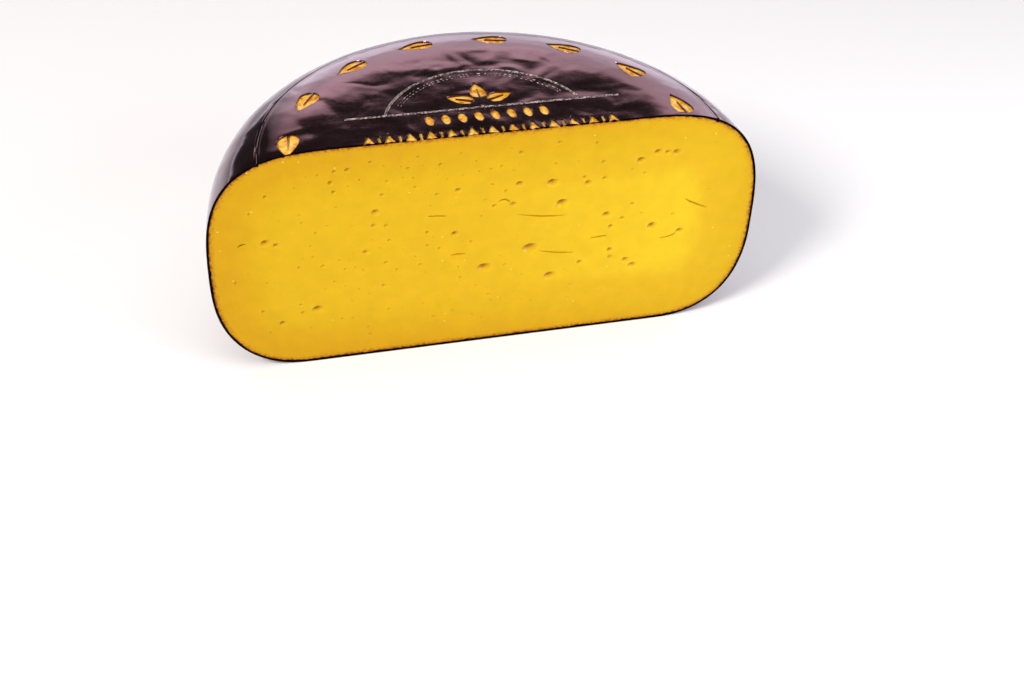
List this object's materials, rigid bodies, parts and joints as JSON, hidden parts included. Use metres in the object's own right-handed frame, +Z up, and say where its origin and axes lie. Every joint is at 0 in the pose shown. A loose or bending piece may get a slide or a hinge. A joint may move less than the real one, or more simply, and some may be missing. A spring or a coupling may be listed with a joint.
{
  "type": "half wheel of waxed cheese",
  "caption": "Half of a round, flat-topped cheese wheel with a thin dark wax coat and a flat cut face that shows small eyes; a leaf, grain and lozenge pattern is cut through the wax on top.",
  "frame": {"origin": "on the surface it stands on, in the middle of its footprint's bounding box", "axes": "+X along the cut face, to the right of someone who looks at it; the cut face looks along -Y; +Z up, along the wheel's own axis"},
  "size_m": [0.2436, 0.1172, 0.112],
  "materials": {
    "cheese": "satin",
    "wax": "gloss"
  },
  "bodies": {
    "root": {"cheese_paste": "cheese", "wax_coat": "wax"}
  },
  "joints": []
}
